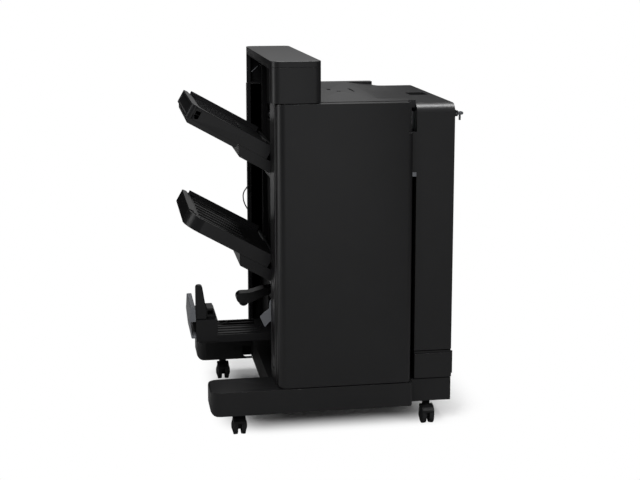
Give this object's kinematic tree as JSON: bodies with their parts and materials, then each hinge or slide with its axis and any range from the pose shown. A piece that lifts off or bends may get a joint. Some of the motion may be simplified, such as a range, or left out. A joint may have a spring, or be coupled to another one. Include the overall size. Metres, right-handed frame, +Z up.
{
  "type": "printer finisher",
  "caption": "Floor-standing copier finisher on swivel casters with sloping stack trays, a booklet tray, a hinged front door, a hinged top cover and a punch unit.",
  "frame": {"origin": "on the floor, under the centre of the whole object's box", "axes": "+X towards the copier (the feeding side), -X towards the stack trays, -Y out of the front door, +Z up"},
  "size_m": [0.7676, 0.628, 1.04],
  "materials": {
    "shell_black": "fine-textured moulded ABS",
    "trim_black": "plain moulded ABS",
    "tray_black": "moulded ABS, smoother than the covers",
    "bay_black": "matt black powder coat",
    "frame_steel": "zinc-coated sheet",
    "rail_steel": "ground and nickel-plated",
    "latch_steel": "nickel-plated pressing",
    "punch_alloy": "cast and machined",
    "guide_grey": "moulded acetal",
    "release_green": "moulded, satin",
    "roller_rubber": "ground feed rubber",
    "wheel_rubber": "hard moulded tread",
    "caster_black": "glass-filled nylon",
    "cable_black": "soft cable jacket",
    "board_green": "lacquered circuit board"
  },
  "bodies": {
    "cabinet": {"base_frame": "bay_black", "front_leg_cover": "shell_black", "rear_leg_cover": "shell_black", "front_side_plate": "frame_steel", "rear_side_plate": "frame_steel", "right_side_plate": "frame_steel", "bay_back_panel": "bay_black", "front_column_cover": "trim_black", "rear_cover": "shell_black", "interface_cable": "cable_black", "tower_housing": "shell_black", "tower_lid": "shell_black", "top_front_trim": "shell_black", "punch_front_cover": "shell_black", "punch_side_cover": "shell_black", "punch_base_cover": "shell_black", "punch_head": "punch_alloy", "door_striker": "latch_steel", "tray_rail_front": "bay_black", "tray_rail_rear": "bay_black", "booklet_tray_deck": "tray_black", "exit_side_guide": "guide_grey", "process_tray": "frame_steel", "stapler_guide_rod": "rail_steel", "drive_motor": "frame_steel", "drive_belt": "roller_rubber", "control_board": "board_green"},
    "door": {"front_door": "shell_black", "door_inner_panel": "trim_black"},
    "jam_cover": {"top_cover": "shell_black"},
    "upper_tray": {"upper_tray_deck": "tray_black", "upper_tray_carriage": "trim_black"},
    "upper_extension": {"upper_tray_extension": "tray_black"},
    "lower_tray": {"lower_tray_deck": "tray_black", "lower_tray_carriage": "trim_black"},
    "lower_extension": {"lower_tray_extension": "tray_black"},
    "stopper": {"booklet_stopper": "tray_black", "stopper_post": "tray_black"},
    "presser": {"press_arm": "tray_black"},
    "presser_roller": {"press_roller": "roller_rubber"},
    "waste_drawer": {"hole_waste_drawer": "shell_black"},
    "latch": {"docking_latch": "latch_steel"},
    "entry_drive": {"entry_drive_roller": "roller_rubber", "jam_knob": "release_green"},
    "entry_idler": {"entry_idler_roller": "roller_rubber"},
    "motor_shaft": {"motor_pulley": "rail_steel"},
    "delivery": {"delivery_roller": "roller_rubber"},
    "fold_lower": {"fold_roller_lower": "roller_rubber"},
    "fold_upper": {"fold_roller_upper": "roller_rubber"},
    "stapler": {"stapler_carriage": "guide_grey"},
    "release_lever": {"jam_release_lever": "release_green"},
    "stack_flag": {"stack_sensor_flag": "rail_steel"},
    "fork_front_left": {"caster_fork_front_left": "caster_black"},
    "wheels_front_left": {"caster_wheels_front_left": "wheel_rubber"},
    "fork_rear_left": {"caster_fork_rear_left": "caster_black"},
    "wheels_rear_left": {"caster_wheels_rear_left": "wheel_rubber"},
    "fork_front_right": {"caster_fork_front_right": "caster_black"},
    "wheels_front_right": {"caster_wheels_front_right": "wheel_rubber"},
    "fork_rear_right": {"caster_fork_rear_right": "caster_black"},
    "wheels_rear_right": {"caster_wheels_rear_right": "wheel_rubber"}
  },
  "joints": [
    {"name": "door_hinge", "type": "hinge", "parent": "cabinet", "child": "door", "pos_m": [-0.12421, -0.294, 0.5], "axis": [0, 0, -1], "range_deg": [0, 110]},
    {"name": "jam_cover_hinge", "type": "hinge", "parent": "cabinet", "child": "jam_cover", "pos_m": [-0.01171, 0, 0.9235], "axis": [0, -1, 0], "range_deg": [0, 70]},
    {"name": "upper_tray_lift", "type": "slide", "parent": "cabinet", "child": "upper_tray", "axis": [0, 0, 1], "range_m": [-0.08, 0.1]},
    {"name": "upper_extension_slide", "type": "slide", "parent": "upper_tray", "child": "upper_extension", "axis": [-0.8721, 0, 0.4894], "range_m": [0, 0.1]},
    {"name": "lower_tray_lift", "type": "slide", "parent": "cabinet", "child": "lower_tray", "axis": [0, 0, 1], "range_m": [-0.015, 0.1]},
    {"name": "lower_extension_slide", "type": "slide", "parent": "lower_tray", "child": "lower_extension", "axis": [-0.8721, 0, 0.4894], "range_m": [0, 0.1]},
    {"name": "stopper_slide", "type": "slide", "parent": "cabinet", "child": "stopper", "axis": [-1, 0, 0], "range_m": [0, 0.045]},
    {"name": "press_arm_hinge", "type": "hinge", "parent": "cabinet", "child": "presser", "pos_m": [-0.12421, 0.011, 0.343], "axis": [0, 1, 0], "range_deg": [-25, 15]},
    {"name": "press_roller_spin", "type": "hinge", "parent": "presser", "child": "presser_roller", "pos_m": [-0.20121, 0.011, 0.311], "axis": [0, 1, 0], "continuous": true},
    {"name": "waste_drawer_slide", "type": "slide", "parent": "cabinet", "child": "waste_drawer", "axis": [0, -1, 0], "range_m": [0, 0.18]},
    {"name": "latch_hinge", "type": "hinge", "parent": "cabinet", "child": "latch", "pos_m": [0.36279, -0.259, 0.888], "axis": [0, -1, 0], "range_deg": [0, 30]},
    {"name": "entry_drive_spin", "type": "hinge", "parent": "cabinet", "child": "entry_drive", "pos_m": [0.21179, 0, 0.85], "axis": [0, 1, 0], "continuous": true},
    {"name": "entry_idler_spin", "type": "hinge", "parent": "cabinet", "child": "entry_idler", "pos_m": [0.21179, 0, 0.8703], "axis": [0, 1, 0], "continuous": true},
    {"name": "motor_spin", "type": "hinge", "parent": "cabinet", "child": "motor_shaft", "pos_m": [0.09579, 0, 0.75], "axis": [0, 1, 0], "continuous": true},
    {"name": "delivery_spin", "type": "hinge", "parent": "cabinet", "child": "delivery", "pos_m": [-0.10021, 0, 0.85], "axis": [0, 1, 0], "continuous": true},
    {"name": "fold_lower_spin", "type": "hinge", "parent": "cabinet", "child": "fold_lower", "pos_m": [-0.03421, 0, 0.262], "axis": [0, 1, 0], "continuous": true},
    {"name": "fold_upper_spin", "type": "hinge", "parent": "cabinet", "child": "fold_upper", "pos_m": [-0.03421, 0, 0.2963], "axis": [0, 1, 0], "continuous": true},
    {"name": "stapler_slide", "type": "slide", "parent": "cabinet", "child": "stapler", "axis": [0, 1, 0], "range_m": [-0.12, 0.27]},
    {"name": "release_lever_hinge", "type": "hinge", "parent": "cabinet", "child": "release_lever", "pos_m": [0.06079, -0.25, 0.7], "axis": [0, 1, 0], "range_deg": [0, 45]},
    {"name": "stack_flag_hinge", "type": "hinge", "parent": "cabinet", "child": "stack_flag", "pos_m": [-0.11821, 0.261, 0.985], "axis": [0, 1, 0], "range_deg": [0, 30]},
    {"name": "swivel_front_left", "type": "hinge", "parent": "cabinet", "child": "fork_front_left", "pos_m": [-0.24421, -0.248, 0.055], "axis": [0, 0, 1], "continuous": true},
    {"name": "roll_front_left", "type": "hinge", "parent": "fork_front_left", "child": "wheels_front_left", "pos_m": [-0.24421, -0.258, 0.025], "axis": [1, 0, 0], "continuous": true},
    {"name": "swivel_rear_left", "type": "hinge", "parent": "cabinet", "child": "fork_rear_left", "pos_m": [-0.24421, 0.24, 0.055], "axis": [0, 0, 1], "continuous": true},
    {"name": "roll_rear_left", "type": "hinge", "parent": "fork_rear_left", "child": "wheels_rear_left", "pos_m": [-0.24421, 0.23, 0.025], "axis": [1, 0, 0], "continuous": true},
    {"name": "swivel_front_right", "type": "hinge", "parent": "cabinet", "child": "fork_front_right", "pos_m": [0.29279, -0.248, 0.055], "axis": [0, 0, 1], "continuous": true},
    {"name": "roll_front_right", "type": "hinge", "parent": "fork_front_right", "child": "wheels_front_right", "pos_m": [0.29279, -0.258, 0.025], "axis": [1, 0, 0], "continuous": true},
    {"name": "swivel_rear_right", "type": "hinge", "parent": "cabinet", "child": "fork_rear_right", "pos_m": [0.29279, 0.24, 0.055], "axis": [0, 0, 1], "continuous": true},
    {"name": "roll_rear_right", "type": "hinge", "parent": "fork_rear_right", "child": "wheels_rear_right", "pos_m": [0.29279, 0.23, 0.025], "axis": [1, 0, 0], "continuous": true}
  ],
  "couplings": [
    {"joint": "entry_idler_spin", "follows": "entry_drive_spin", "ratio": -1},
    {"joint": "motor_spin", "follows": "entry_drive_spin", "ratio": 1},
    {"joint": "fold_upper_spin", "follows": "fold_lower_spin", "ratio": -1}
  ]
}
